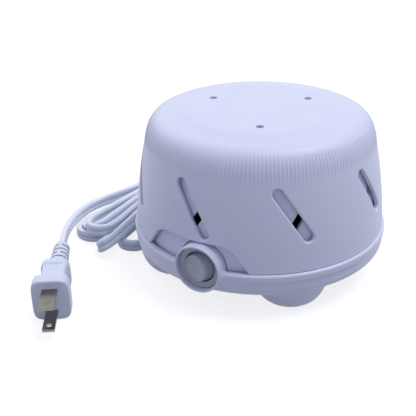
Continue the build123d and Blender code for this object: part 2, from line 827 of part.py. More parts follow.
def make_bushing():
    """Flanged bushing in the rear wall, the tapered sleeve behind it and the length of cord inside both."""
    inlet = rear_post(cord_diameter / 2, bushing_inner, cord_exit)
    flange = rear_post(bushing_radius, bushing_inner, bushing_face)
    flange -= bowl(0, base_underside, rim_top) + rim_band()
    bushing = flange + rear_post(bushing_neck, bushing_inner, bushing_face) - inlet
    taper = rear_plane * Pos(0, 0, bushing_face) * Cone(relief_radius, relief_tip_radius, relief_length,
                                                        align=standing)
    pitch = relief_length / (relief_grooves + 1.5)
    for index in range(relief_grooves):
        start = bushing_face + pitch * (index + 1)
        end = start + relief_groove_width
        groove_foot = relief_tip_radius - relief_groove_depth
        taper -= rear_post(relief_radius + 1, start, end) - rear_post(groove_foot, start, end)
    return bushing, taper - inlet, inlet


def make_cord():
    """Free cord: the feed from the sleeve to the hank, the hank's outer form, and the lead to the plug."""
    feed = round_lead([(0, cord_exit, bushing_height)] + feed_route, cord_diameter / 2, "cord_feed")
    tip = relief_tip()
    last = tuple(Vector(*tip) - plug_heading() * lead_last_run)
    lead = round_lead(lead_route + [last, tip], cord_diameter / 2, "cord_lead")
    bends = [(Pos(x, y, 0) * Circle(radius)).edge() for x, y, radius in hank_bends]
    hank = extrude(make_hull(ShapeList(bends)), amount=hank_height)
    hank = fillet(hank.edges().group_by(Axis.Z)[-1], hank_round)
    hank = fillet(hank.edges().group_by(Axis.Z)[0], hank_round / 2)
    return feed, hank, lead


def plug_heading():
    """Unit direction from the back of the plug to its face."""
    return (Vector(*plug_face) - Vector(*plug_back)).normalized()


def relief_tip():
    """Where the cord enters the plug's strain relief."""
    return tuple(Vector(*plug_back) - plug_heading() * plug_relief_length)


def plug_plane(origin):
    """Plane across the plug: local Y is up and local Z points out of the face."""
    heading = plug_heading()
    return Plane(origin=origin, x_dir=Vector(0, 0, 1).cross(heading), z_dir=heading)


def plug_block(section, start, end):
    """Straight stretch of the plug between two distances from its back."""
    return Pos(0, 0, start) * extrude(RectangleRounded(*section), amount=end - start)


def plug_taper(first, last, start, end):
    """Slanting change from one section of the plug to another."""
    return loft([Pos(0, 0, start) * RectangleRounded(*first), Pos(0, 0, end) * RectangleRounded(*last)], ruled=True)


def make_plug_body():
    """Moulded plug: a flange, a waist to grip and the wide front block."""
    length = (Vector(*plug_face) - Vector(*plug_back)).length
    waist_start = plug_flange_depth + plug_taper_depth
    front_start = length - plug_front_depth
    waist_end = front_start - plug_taper_depth
    body = plug_block(plug_flange, 0, plug_flange_depth)
    body += plug_taper(plug_flange, plug_waist, plug_flange_depth, waist_start)
    body += plug_block(plug_waist, waist_start, waist_end)
    body += plug_taper(plug_waist, plug_front, waist_end, front_start)
    body += plug_block(plug_front, front_start, length)
    return plug_plane(plug_back) * body


def make_plug_relief():
    """Tapered grooved sleeve that the cord enters the plug through."""
    sleeve = Cone(plug_relief_tip, plug_relief_radius, plug_relief_length, align=standing)
    pitch = plug_relief_length / (plug_grooves + plug_groove_start + plug_groove_end)
    for index in range(plug_grooves):
        groove = Cylinder(2 * plug_relief_radius, plug_groove_width, align=standing)
        groove -= Cylinder(plug_relief_tip - plug_groove_depth, plug_groove_width, align=standing)
        sleeve -= Pos(0, 0, pitch * (index + plug_groove_start)) * groove
    return plug_plane(relief_tip()) * sleeve


def make_plug_blades():
    """Two blades with a hole near the tip, the upper one wider than the lower."""
    blades = []
    for height, wide in ((blade_gap / 2, blade_wide), (-blade_gap / 2, blade_narrow)):
        blade = Box(wide, blade_thickness, blade_length, align=standing)
        blade = chamfer(blade.edges().group_by(Axis.Z)[-1].filter_by(Axis.X), blade_tip_bevel)
        blade = chamfer(blade.edges().filter_by(Axis.Y).group_by(Axis.Z)[-1], blade_corner_bevel)
        hole = Rot(90, 0, 0) * Cylinder(blade_hole_radius, 2 * blade_thickness)
        blade -= Pos(0, 0, blade_length - blade_hole_to_tip) * hole
        blades.append(plug_plane(plug_face) * Pos(0, height, 0) * blade)
    return blades


def make_wires():
    """Insulated leads inside the base, the coil's two leads and the closed-end caps that join them."""
    low = base_underside + base_floor + wire_radius + wire_lift
    sleeve_back = -switch_body_back + sleeve_start + sleeve_size[1]
    mouth = cap_y - cap_length / 2
    cap_z = low + cap_radius
    live = round_lead([
        (wire_pitch, bushing_inner, bushing_height), (3.5, bushing_inner - 10, bushing_height - 3.5),
        (10.0, 40.0, low), (15.0, 15.0, low), (14.0, -9.0, low), (7.0, -22.0, low + 6),
        (terminal_offset, sleeve_back, switch_height)], wire_radius)
    switched = round_lead([
        (-terminal_offset, sleeve_back, switch_height), (-8.0, -21.0, low + 6), (-15.0, -6.0, low),
        (-18.0, 12.0, low), (-22.5, 29.0, low + 1.5), (-cap_x - wire_pitch, mouth, cap_z)], wire_radius)
    neutral = round_lead([
        (-wire_pitch, bushing_inner, bushing_height), (-2.0, bushing_inner - 9, bushing_height - 1),
        (4.0, 48.0, low + 4.9), (13.5, 37.0, low + 2.0), (20.5, 33.5, low + 1.6),
        (cap_x + wire_pitch, mouth, cap_z)], wire_radius)
    winding_under = stack_foot - bobbin_wall - bobbin_flange + winding_inset
    leads = [round_lead([(side * 6.0, 33.0, winding_under), (side * 9.5, 33.5, winding_under - 3.2),
                         (side * 16.5, 35.5, cap_z + 1.6), (side * (cap_x - wire_pitch), mouth, cap_z)], wire_radius)
             for side in (-1, 1)]
    caps = []
    for side in (-1, 1):
        plane = Plane(origin=(side * cap_x, mouth, cap_z), z_dir=(0, 1, 0))
        caps.append(plane * Cone(cap_radius, cap_tip_radius, cap_length, align=standing))
    return [live, switched, neutral], leads, caps


def trimmed(leads, neighbours):
    """Leads cut back where their slanting ends reach into what they enter."""
    results = []
    for lead in leads:
        for neighbour in neighbours:
            lead = lead - neighbour
        results.append(lead)
    return results


def write(name, shape):
    """One STEP file per piece; a list becomes one node of separate solids."""
    solids = shape if isinstance(shape, list) else [shape]
    flat = [solid for item in solids for solid in item.solids()]
    export_step(flat[0] if len(flat) == 1 else Compound(flat), f"parts/{name}.step")


def main():
    os.makedirs("parts", exist_ok=True)
    washer, screw, spring = make_pivot_parts()
    bobbin, winding = make_coil()
    upper, lower = make_brackets()
    motor_screws, motor_nuts = make_motor_screws()
    grommets, mount_screws = make_mounts()
    rotor, end_rings, shaft, thrust_washers = make_rotor()
    fan, clip = make_fan()
    tabs, sleeves = make_switch_terminals()
    bushing, relief, inlet = make_bushing()
    feed, hank, lead = make_cord()
    wires, coil_leads, caps = make_wires()
    wires = trimmed(wires, caps + sleeves + [inlet])
    coil_leads = trimmed(coil_leads, caps + [winding])
    pieces = {
        "base_tray": make_base_tray(), "foot_pads": make_foot_pads(), "housing_screws": make_housing_screws(),
        "inner_housing": make_inner_housing(), "outer_shell": make_outer_shell(), "pivot_washer": washer,
        "pivot_screw": screw, "drag_spring": spring, "stator_core": make_stator_core(), "coil_bobbin": bobbin,
        "coil_winding": winding, "shading_rings": make_shading_rings(), "upper_bracket": upper,
        "lower_bracket": lower, "bearing_bushes": make_bearing_bushes(), "motor_screws": motor_screws,
        "motor_nuts": motor_nuts, "motor_grommets": grommets, "mounting_screws": mount_screws,
        "rotor_core": rotor, "rotor_end_rings": end_rings, "motor_shaft": shaft, "thrust_washers": thrust_washers,
        "fan_wheel": fan, "fan_clip": clip, "switch_frame": make_switch_frame(), "switch_body": make_switch_body(),
        "switch_rocker": make_rocker(), "switch_terminals": tabs, "terminal_sleeves": sleeves,
        "inner_wires": wires, "coil_leads": coil_leads, "wire_caps": caps, "cord_bushing": bushing,
        "cord_relief": relief, "cord_inlet": inlet, "cord_feed": feed, "cord_hank": hank, "cord_lead": lead,
        "plug_body": make_plug_body(), "plug_relief": make_plug_relief(), "plug_blades": make_plug_blades(),
    }
    for name, shape in pieces.items():
        write(name, shape)


main()
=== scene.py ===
import json
import math
import bmesh
import bpy
from mathutils import Matrix, Vector


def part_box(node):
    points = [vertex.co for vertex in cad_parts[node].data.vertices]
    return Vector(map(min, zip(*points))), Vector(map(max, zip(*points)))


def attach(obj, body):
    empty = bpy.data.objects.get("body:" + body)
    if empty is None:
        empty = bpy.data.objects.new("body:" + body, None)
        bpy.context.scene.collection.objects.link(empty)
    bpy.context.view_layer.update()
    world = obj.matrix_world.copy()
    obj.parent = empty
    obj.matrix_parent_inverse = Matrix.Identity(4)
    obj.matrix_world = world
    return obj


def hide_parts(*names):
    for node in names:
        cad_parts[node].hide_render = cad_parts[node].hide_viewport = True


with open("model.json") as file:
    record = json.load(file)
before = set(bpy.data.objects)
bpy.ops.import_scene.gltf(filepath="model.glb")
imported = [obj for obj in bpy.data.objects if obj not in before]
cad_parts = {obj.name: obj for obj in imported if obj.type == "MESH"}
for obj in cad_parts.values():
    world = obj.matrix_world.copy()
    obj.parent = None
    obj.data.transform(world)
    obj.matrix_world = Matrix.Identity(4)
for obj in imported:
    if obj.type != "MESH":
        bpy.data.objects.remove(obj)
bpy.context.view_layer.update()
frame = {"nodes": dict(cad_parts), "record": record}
nodes = frame["nodes"]
print("frame loaded,", len(nodes), "nodes")

# every length below is in metres, unless its note says otherwise
camera = {
    "place": (0.1715, -0.3629, 0.2307),
    "turn": 28.48,  # degrees about Z
    "tilt": 26.35,  # degrees below level
    "roll": -0.64,
    "focalPixels": 757.58,
    "centrePixels": (221.2, 205.7),
    "framePixels": 416,
    "clipStart": 0.01,
}


def makeCamera():
    data = bpy.data.cameras.new("camera")
    size = camera["framePixels"]
    data.lens = data.sensor_width * camera["focalPixels"] / size
    data.shift_x = 0.5 - camera["centrePixels"][0] / size
    data.shift_y = camera["centrePixels"][1] / size - 0.5
    data.clip_start = camera["clipStart"]
    item = bpy.data.objects.new("camera", data)
    turn = Matrix.Rotation(math.radians(camera["turn"]), 4, "Z")
    tilt = Matrix.Rotation(math.radians(90 - camera["tilt"]), 4, "X")
    roll = Matrix.Rotation(math.radians(camera["roll"]), 4, "Z")
    item.matrix_world = Matrix.Translation(camera["place"]) @ turn @ tilt @ roll
    bpy.context.scene.collection.objects.link(item)
    bpy.context.scene.camera = item
    print("camera ready")


# sizes and bump depths, in millimetres, of the patterns that the finishes are made of
patterns = {
    "flowMarks": 26,
    "rollingMarks": 0.5,
    "rollingDepth": 0.02,
    "sheetLines": 4.084,
    "sheetDepth": 0.08,
    "varnishStain": 7,
    "tapeTurns": 6.9115,
    "tapeDepth": 0.15,
    "tapeSmear": 5,
    "rubberBloom": 4,
    "rubberPits": 0.7,
    "rubberDepth": 0.05,
}
wavePhase = 20  # radians that a wave texture goes through in one unit of its vector


def toLinear(colour):
    shares = [int(colour[place:place + 2], 16) / 255 for place in (1, 3, 5)]
    linear = [v / 12.92 if v <= 0.04045 else ((v + 0.055) / 1.055) ** 2.4 for v in shares]
    return (*linear, 1.0)


def addNode(tree, kind, inputs=None, **settings):
    node = tree.nodes.new(kind)
    for name, value in settings.items():
        setattr(node, name, value)
    for name, value in (inputs or {}).items():
        if isinstance(value, bpy.types.NodeSocket):
            tree.links.new(value, node.inputs[name])
        else:
            node.inputs[name].default_value = value
    return node


def perMetre(millimetres):
    return 1000 / millimetres


def wavesPerMetre(millimetres):
    return perMetre(millimetres) * math.tau / wavePhase


def newMaterial(name, roughness, metallic=0.0, ior=1.46):
    material = bpy.data.materials.new(name)
    material.use_nodes = True
    tree = material.node_tree
    shader = tree.nodes["Principled BSDF"]
    shader.inputs["Roughness"].default_value = roughness
    shader.inputs["Metallic"].default_value = metallic
    if not metallic:
        shader.inputs["IOR"].default_value = ior
    place = addNode(tree, "ShaderNodeTexCoord").outputs["Object"]
    return material, tree, shader, place


def setTint(tree, shader, share, dark, light):
    # the colour wanders between two near shades
    tint = addNode(tree, "ShaderNodeMix", {"Factor": share}, data_type="RGBA")
    tint.inputs["A"].default_value = toLinear(dark)
    tint.inputs["B"].default_value = toLinear(light)
    tree.links.new(tint.outputs["Result"], shader.inputs["Base Color"])


def setSheen(tree, shader, share, shiny, dull):
    # the gloss is uneven between two roughnesses
    spread = addNode(tree, "ShaderNodeMapRange",
                     {"Value": share, "To Min": shiny, "To Max": dull})
    tree.links.new(spread.outputs["Result"], shader.inputs["Roughness"])


def setBump(tree, shader, height, millimetres, strength):
    bump = addNode(tree, "ShaderNodeBump",
                   {"Height": height, "Distance": millimetres / 1000, "Strength": strength})
    tree.links.new(bump.outputs["Normal"], shader.inputs["Normal"])


def mouldedPlastic(name, dark, light, grain, depth, shiny, dull, ior=1.53):
    # slow flow marks tint it, and the mould's fine texture gives its gloss and its bump
    material, tree, shader, place = newMaterial(name, roughness=shiny, ior=ior)
    flow = addNode(tree, "ShaderNodeTexNoise",
                   {"Vector": place, "Scale": perMetre(patterns["flowMarks"]), "Detail": 2.0})
    texture = addNode(tree, "ShaderNodeTexNoise",
                      {"Vector": place, "Scale": perMetre(grain), "Detail": 3.0})
    setTint(tree, shader, flow.outputs["Fac"], dark, light)
    setSheen(tree, shader, texture.outputs["Fac"], shiny, dull)
    setBump(tree, shader, texture.outputs["Fac"], depth, strength=0.5)
    return material


def cloudedMetal(name, dark, light, patch, shiny, dull):
    # plated and bare metal alike cloud in patches and keep faint rolling marks
    material, tree, shader, place = newMaterial(name, roughness=shiny, metallic=1.0)
    cloud = addNode(tree, "ShaderNodeTexNoise",
                    {"Vector": place, "Scale": perMetre(patch), "Detail": 5.0})
    rolled = addNode(tree, "ShaderNodeTexNoise",
                     {"Vector": place, "Scale": perMetre(patterns["rollingMarks"]), "Detail": 2.0})
    setTint(tree, shader, cloud.outputs["Fac"], dark, light)
    setSheen(tree, shader, cloud.outputs["Fac"], shiny, dull)
    setBump(tree, shader, rolled.outputs["Fac"], patterns["rollingDepth"], strength=0.4)
    return material


def layeredSteel(name, dark, light, shiny, dull):
    # a stack of 0.65 mm sheets, dull with varnish: one line to a sheet would be too fine to show,
    # and these are coarser than they need to be, about six sheets apart
    material, tree, shader, place = newMaterial(name, roughness=0.5, metallic=1.0)
    lines = addNode(tree, "ShaderNodeTexWave",
                    {"Vector": place, "Scale": wavesPerMetre(patterns["sheetLines"]),
                     "Distortion": 0.2}, bands_direction="Z")
    stain = addNode(tree, "ShaderNodeTexNoise",
                    {"Vector": place, "Scale": perMetre(patterns["varnishStain"]), "Detail": 4.0})
    setTint(tree, shader, lines.outputs["Fac"], dark, light)
    setSheen(tree, shader, stain.outputs["Fac"], shiny, dull)
    setBump(tree, shader, lines.outputs["Fac"], patterns["sheetDepth"], strength=0.6)
    return material


def woundTape(name, dark, light, shiny, dull):
    # polyester tape round the coil: glossy, with a ridge at each turn of the tape
    material, tree, shader, place = newMaterial(name, roughness=0.3, ior=1.57)
    turns = addNode(tree, "ShaderNodeTexWave",
                    {"Vector": place, "Scale": wavesPerMetre(patterns["tapeTurns"]),
                     "Distortion": 0.4}, bands_direction="X")
    smear = addNode(tree, "ShaderNodeTexNoise",
                    {"Vector": place, "Scale": perMetre(patterns["tapeSmear"]), "Detail": 3.0})
    setTint(tree, shader, smear.outputs["Fac"], dark, light)
    setSheen(tree, shader, smear.outputs["Fac"], shiny, dull)
    setBump(tree, shader, turns.outputs["Fac"], patterns["tapeDepth"], strength=0.6)
    return material


def pressedRubber(name, dark, light, shiny, dull):
    # a dry bloom in patches over a fine pitted skin
    material, tree, shader, place = newMaterial(name, roughness=0.8, ior=1.52)
    bloom = addNode(tree, "ShaderNodeTexNoise",
                    {"Vector": place, "Scale": perMetre(patterns["rubberBloom"]), "Detail": 4.0})
    pits = addNode(tree, "ShaderNodeTexVoronoi",
                   {"Vector": place, "Scale": perMetre(patterns["rubberPits"])})
    setTint(tree, shader, bloom.outputs["Fac"], dark, light)
    setSheen(tree, shader, bloom.outputs["Fac"], shiny, dull)
    setBump(tree, shader, pits.outputs["Distance"], patterns["rubberDepth"], strength=0.5)
    return material


def makeMaterials():
    # grain, patch and depth are in millimetres, shiny and dull are the roughness from and to;
    # the mould textures would be too fine to show, so they are drawn about twice as coarse
    made = {
        # moulded ABS with a spark-eroded texture: soft even sheen, cool white
        "shell_plastic": mouldedPlastic("sparkTexturedAbs", "#D8DCF2", "#DCE0F5",
                                        grain=0.9, depth=0.012, shiny=0.40, dull=0.50),
        # moulded rubber: dull, nearly black
        "pad_rubber": pressedRubber("mouldedRubber", "#17171A", "#242428", shiny=0.72, dull=0.9),
        # zinc plated steel: bluish and cloudy
        "zinc_steel": cloudedMetal("zincPlatedSteel", "#A3A8AE", "#C6CACD",
                                   patch=5, shiny=0.24, dull=0.42),
        # tempered spring steel: dark grey blue
        "spring_steel": cloudedMetal("temperedSpringSteel", "#5B5F68", "#7C8088",
                                     patch=6, shiny=0.2, dull=0.36),
        # varnished core sheets: dark grey in lines, dull
        "lamination_steel": layeredSteel("varnishedCoreSheets", "#45474B", "#7B7D80",
                                         shiny=0.38, dull=0.62),
        # moulded nylon: milky cream, slightly waxy
        "bobbin_nylon": mouldedPlastic("mouldedNylon", "#DDD6C2", "#E7E1D0",
                                       grain=0.8, depth=0.01, shiny=0.32, dull=0.44),
        # polyester tape: amber and glossy
        "winding_tape": woundTape("polyesterTape", "#B98A1E", "#D8AE3C", shiny=0.22, dull=0.38),
        # bare copper bar: bright, with brown tarnish in patches
        "copper_wire": cloudedMetal("drawnCopper", "#8E4A2C", "#D58A5E",
                                    patch=3, shiny=0.22, dull=0.45),
        # sintered bronze: brown gold, dull from its open pores
        "bronze": cloudedMetal("sinteredBronze", "#7C5F35", "#A98450",
                               patch=0.8, shiny=0.42, dull=0.6),
        # die cast aluminium: pale grey with a satin cast skin
        "cast_aluminium": cloudedMetal("dieCastAluminium", "#A5A7AA", "#C3C5C7",
                                       patch=2, shiny=0.35, dull=0.55),
        # ground steel rod: nearly a mirror
        "ground_steel": cloudedMetal("groundSteelRod", "#B4B6BA", "#CDCFD2",
                                     patch=8, shiny=0.1, dull=0.2),
        # moulded polypropylene: dark grey, satin
        "fan_plastic": mouldedPlastic("mouldedPolypropylene", "#2E3035", "#383B41",
                                      grain=1.2, depth=0.015, shiny=0.36, dull=0.5),
        # moulded polycarbonate from a matt mould: mid grey
        "switch_grey": mouldedPlastic("mattPolycarbonate", "#A6A9B6", "#AEB1BE",
                                      grain=0.6, depth=0.008, shiny=0.38, dull=0.48, ior=1.58),
        # glass filled nylon: black with a fine rough skin
        "switch_black": mouldedPlastic("glassFilledNylon", "#121215", "#1D1D21",
                                       grain=0.5, depth=0.02, shiny=0.45, dull=0.6),
        # stamped brass strip: yellow and shiny, with faint marks
        "terminal_brass": cloudedMetal("stampedBrass", "#A98843", "#CFB06A",
                                       patch=3, shiny=0.2, dull=0.35),
        # extruded PVC insulation: smooth with a waxy shine
        "wire_pvc": mouldedPlastic("extrudedWirePvc", "#D9DBDF", "#E4E6E9",
                                   grain=2.5, depth=0.01, shiny=0.3, dull=0.4, ior=1.54),
        # extruded flexible PVC: cool white, smooth, a soft wide highlight
        "cord_pvc": mouldedPlastic("extrudedCordPvc", "#E0E6F5", "#E6ECF9",
                                   grain=2.5, depth=0.012, shiny=0.3, dull=0.42, ior=1.54),
        # moulded flexible PVC: a shade darker than the cord, fine mould skin
        "plug_pvc": mouldedPlastic("mouldedPlugPvc", "#D2D8EA", "#D9DFF0",
                                   grain=0.9, depth=0.012, shiny=0.36, dull=0.48, ior=1.54),
        # nickel plated brass blades: a warm grey darker than nickel really is, painted shade, with
        # a soft shine
        "blade_nickel": cloudedMetal("nickelPlatedBrassInPaintedShade", "#7D7978", "#95908D",
                                     patch=4, shiny=0.22, dull=0.36),
    }
    for row in frame["record"]["subparts"]:
        material = made[row["material_slot"]]
        slots = nodes[row["node"]].material_slots
        if not slots:
            nodes[row["node"]].data.materials.append(material)
        for slot in slots:
            slot.material = material
    print("materials", len(made))
    return made


shading = {
    "crispEdge": 48.0,  # degrees: an edge that bends by more isn't smoothed over
}


def newPiece(name, mesh, material, body):
    piece = bpy.data.objects.new(name, mesh)
    mesh.name = name
    bpy.context.scene.collection.objects.link(piece)
    mesh.materials.clear()
    mesh.materials.append(material)
    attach(piece, body)
    print(name, len(mesh.polygons), "faces")
    return piece


def finishMesh(shape, smooth=True):
    bmesh.ops.recalc_face_normals(shape, faces=shape.faces[:])
    for face in shape.faces:
        face.smooth = smooth
    for edge in shape.edges:
        edge.smooth = edge.calc_face_angle(0) < math.radians(shading["crispEdge"])
    mesh = bpy.data.meshes.new("shape")
    shape.to_mesh(mesh)
    shape.free()
    return mesh


def newVerts(grown):
    return [item for item in grown["geom"] if isinstance(item, bmesh.types.BMVert)]


# grip ribs round the cover's corner
ribs = {
    "count": 200,
    "foot": 0.0734,  # height where they begin on the wall
    "footRadius": 0.066,
    "topRadius": 0.0524,  # where they run out on the top
    "topMargin": 0.0015,  # how far below the top the last ray aims
    "width": 0.00135,
    "proud": 0.00028,
    "sunk": 0.00025,
    "sideSunk": 0.4,  # share of that depth at which the long sides lie
    "steps": 9,
    "fade": 0.26,  # share of the length over which they rise or run out
    "castTurn": 20.0,  # degrees from the front, clear of the slots
    "castDrop": 0.02,  # from the foot down to the point that the rays aim at
    "castFrom": 0.2,  # how far from that point they start
}


def ribProfile():
    # points and outward directions on the cover's outer skin, from the wall over the corner
    shell = nodes["outer_shell"]
    turn = math.radians(ribs["castTurn"])
    outward = Vector((math.sin(turn), -math.cos(turn), 0))
    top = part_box("outer_shell")[1][2]
    middle = Vector((0, 0, ribs["foot"] - ribs["castDrop"]))
    low = math.atan2(ribs["foot"] - middle.z, ribs["footRadius"])
    high = math.atan2(top - middle.z - ribs["topMargin"], ribs["topRadius"])
    profile = []
    for step in range(ribs["steps"]):
        rise = low + (high - low) * step / (ribs["steps"] - 1)
        way = outward * math.cos(rise) + Vector((0, 0, math.sin(rise)))
        _, place, normal, _ = shell.ray_cast(middle + way * ribs["castFrom"], -way)
        profile.append((Vector((place.dot(outward), 0, place.z)),
                        Vector((normal.dot(outward), 0, normal.z))))
    return profile


def makeRibs(made):
    # one rib is a strip laid along the profile and closed below the skin, then repeated round
    profile = ribProfile()
    last = ribs["steps"] - 1
    shape = bmesh.new()
    bmesh.ops.create_grid(shape, x_segments=last, y_segments=2, size=0.5)
    for vertex in shape.verts:
        share = vertex.co.x + 0.5
        place, normal = profile[round(share * last)]
        side = 2 * vertex.co.y
        rise = min(1, share / ribs["fade"], (1 - share) / ribs["fade"])
        lift = ribs["proud"] * rise if abs(side) < 0.5 else -ribs["sunk"] * ribs["sideSunk"]
        vertex.co = place + normal * lift + Vector((0, side * ribs["width"] / 2, 0))
    grown = bmesh.ops.extrude_face_region(shape, geom=shape.faces[:])
    foot, crest = profile[0][0].z, profile[-1][0].z
    for vertex in newVerts(grown):
        share = (vertex.co.z - foot) / (crest - foot)
        vertex.co -= profile[round(min(1, max(0, share)) * last)][1] * ribs["sunk"]
    bmesh.ops.spin(shape, geom=shape.verts[:] + shape.edges[:] + shape.faces[:],
                   cent=(0, 0, 0), axis=(0, 0, 1), use_duplicate=True,
                   angle=math.tau * (1 - 1 / ribs["count"]), steps=ribs["count"] - 1)
    piece = newPiece("cover_ribs", finishMesh(shape), made["shell_plastic"], "cover")


# ring and bar on the rocker
marks = {
    "pivot": (0, -0.0687, 0.0278),
    "tilt": -16.0,  # the rocker's rest, degrees about Z
    "face": 0.0760,  # distance of the casting plane from the body's axis
    "castBack": 0.01,  # how far before that plane the rays start
    "missReach": 0.012,  # where a ray that meets nothing ends
    "ringPlace": -0.0034,
    "ringRadius": 0.00135,
    "ringSides": 28,
    "barPlace": 0.0046,
    "barHeight": 0.0030,
    "barSteps": 6,
    "line": 0.00050,
    "proud": 0.00008,
    "depth": 0.00024,
}


def layOnRocker(shape):
    # the flat outline is dropped on the rocker's face, then given a little thickness
    pivot = Vector(marks["pivot"])
    turn = Matrix.Rotation(math.radians(marks["tilt"]), 4, "Z")
    turn = Matrix.Translation(pivot) @ turn @ Matrix.Translation(-pivot)
    way = (turn.to_3x3() @ Vector((0, 1, 0))).normalized()
    front, height = -marks["face"] - marks["castBack"], marks["pivot"][2]
    for vertex in shape.verts:
        start = turn @ Vector((vertex.co.x, front, height + vertex.co.y))
        found, place, _, _ = nodes["switch_rocker"].ray_cast(start, way)
        if not found:
            place = start + way * marks["missReach"]
        vertex.co = place - way * marks["proud"]
    grown = bmesh.ops.extrude_face_region(shape, geom=shape.faces[:])
    bmesh.ops.translate(shape, verts=newVerts(grown), vec=way * marks["depth"])


def makeMarks():
    shape = bmesh.new()
    ring = []
    for radius in (marks["ringRadius"], marks["ringRadius"] - marks["line"]):
        circle = bmesh.ops.create_circle(shape, segments=marks["ringSides"], radius=radius)
        ring += circle["verts"]
    bmesh.ops.bridge_loops(shape, edges=shape.edges[:])
    bmesh.ops.translate(shape, verts=ring, vec=(marks["ringPlace"], 0, 0))
    bar = bmesh.ops.create_grid(shape, x_segments=1, y_segments=marks["barSteps"], size=0.5)
    bmesh.ops.scale(shape, verts=bar["verts"], vec=(marks["line"], marks["barHeight"], 1))
    bmesh.ops.translate(shape, verts=bar["verts"], vec=(marks["barPlace"], 0, 0))
    layOnRocker(shape)
    # pad printed ink: paler than the rocker, matt
    ink = mouldedPlastic("padPrintedInk", "#CBD1E0", "#D4D9E6",
                         grain=0.4, depth=0.004, shiny=0.5, dull=0.6)
    piece = newPiece("switch_marks", finishMesh(shape, smooth=False), ink, "rocker")


# moulded plug with its slotted relief, along the line from back to face
plug = {
    "back": (-0.0808, -0.0896, 0.0122),
    "face": (-0.0651, -0.1137, 0.0122),
    "sides": 64,
    "softEdge": 0.0004,
    "reliefLength": 0.0270,
    "reliefTip": 0.0046,  # radius
    "reliefRoot": 0.0058,
    "reliefSquare": 2.0,  # a plain circle
    "rows": 5,
    "slotWidth": 0.0015,
    "slotDepth": 0.0026,
    "slotReach": 4.0,  # how far round each slot goes, as the slope of the line to its end
    "slotEdge": 0.0002,
    "firstSlot": 0.0034,
    "slotPitch": 0.0045,
    # distance from the back, width, height and squareness of the section
    "sections": (
        (0.0000, 0.0146, 0.0176, 3.6), (0.0004, 0.0154, 0.0184, 3.8),
        (0.0012, 0.0158, 0.0188, 4.0), (0.0046, 0.0158, 0.0190, 4.0),
        (0.0052, 0.0155, 0.0188, 4.2), (0.0055, 0.0148, 0.0182, 5.0),
        (0.0058, 0.0136, 0.0172, 7.0), (0.0064, 0.0132, 0.0169, 9.0),
        (0.0150, 0.0131, 0.0169, 9.0), (0.0172, 0.0136, 0.0174, 8.0),
        (0.0190, 0.0150, 0.0189, 6.0), (0.0203, 0.0175, 0.0214, 5.0),
        (0.0209, 0.0190, 0.0229, 4.8), (0.0214, 0.0197, 0.0237, 4.8),
        (0.0221, 0.0200, 0.0240, 4.8), (0.0276, 0.0200, 0.0240, 4.8),
        (0.0283, 0.0197, 0.0237, 4.8), (0.0287, 0.0189, 0.0229, 4.8),
        (0.02876, 0.0180, 0.0220, 4.8)),
}


def squareRing(shape, sides, distance, width, height, square):
    # a circle pulled out towards a rectangle with round corners
    ring = bmesh.ops.create_circle(shape, segments=sides, radius=1)["verts"]
    for vertex in ring:
        x, y = vertex.co.x, vertex.co.y
        reach = (abs(x) ** square + abs(y) ** square) ** (-1 / square)
        vertex.co = (x * reach * width / 2, y * reach * height / 2, distance)
    return ring


def bridgeRings(shape, rings):
    for lower, upper in zip(rings, rings[1:]):
        edges = [edge for edge in shape.edges
                 if set(edge.verts) <= set(lower) or set(edge.verts) <= set(upper)]
        bmesh.ops.bridge_loops(shape, edges=edges)


def reliefRings(shape):
    # the cone, with a ring at each side of every slot row and its two steps
    length, step = plug["reliefLength"], plug["slotEdge"]
    stations = [-length, -length + plug["softEdge"]]
    for row in range(plug["rows"]):
        start = -length + plug["firstSlot"] + plug["slotPitch"] * row
        end = start + plug["slotWidth"]
        stations += [start - step, start, end, end + step]
    stations.append(-step)
    rings = []
    for distance in stations:
        share = (distance + length) / length
        radius = plug["reliefTip"] + (plug["reliefRoot"] - plug["reliefTip"]) * share
        if not rings:
            radius -= plug["softEdge"]
        rings.append(squareRing(shape, plug["sides"], distance, 2 * radius, 2 * radius,
                                plug["reliefSquare"]))
    return rings


def cutSlots(shape):
    # slots sit left and right in one row, above and below in the next
    for row in range(plug["rows"]):
        start = -plug["reliefLength"] + plug["firstSlot"] + plug["slotPitch"] * row
        middle = start + plug["slotWidth"] / 2
        for side in (1, -1):
            slotFaces = []
            for facet in shape.faces:
                centre = facet.calc_center_median()
                if abs(centre.z - middle) > plug["slotWidth"] / 4 or len(facet.verts) != 4:
                    continue
                along, across = (centre.x, centre.y) if row % 2 == 0 else (centre.y, centre.x)
                if side * along > 0 and abs(across) < plug["slotReach"] * abs(along):
                    slotFaces.append(facet)
            sunk = bmesh.ops.extrude_face_region(shape, geom=slotFaces)
            for vertex in newVerts(sunk):
                vertex.co.xy *= 1 - plug["slotDepth"] / vertex.co.xy.length
            left = [face for face in slotFaces if face.is_valid]
            bmesh.ops.delete(shape, geom=left, context="FACES_ONLY")


def makePlug(made):
    shape = bmesh.new()
    rings = reliefRings(shape)
    for section in plug["sections"]:
        rings.append(squareRing(shape, plug["sides"], *section))
    bridgeRings(shape, rings)
    for ring in (rings[0], rings[-1]):
        cap = bmesh.ops.contextual_create(shape, geom=ring)["faces"]
        bmesh.ops.inset_region(shape, faces=cap, thickness=plug["softEdge"])
    cutSlots(shape)
    back, up = Vector(plug["back"]), Vector((0, 0, 1))
    heading = (Vector(plug["face"]) - back).normalized()
    turn = Matrix((up.cross(heading), up, heading)).transposed().to_4x4()
    bmesh.ops.transform(shape, matrix=Matrix.Translation(back) @ turn, verts=shape.verts[:])
    piece = newPiece("plug_moulding", finishMesh(shape), made["plug_pvc"], "base")
    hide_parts("plug_body", "plug_relief")


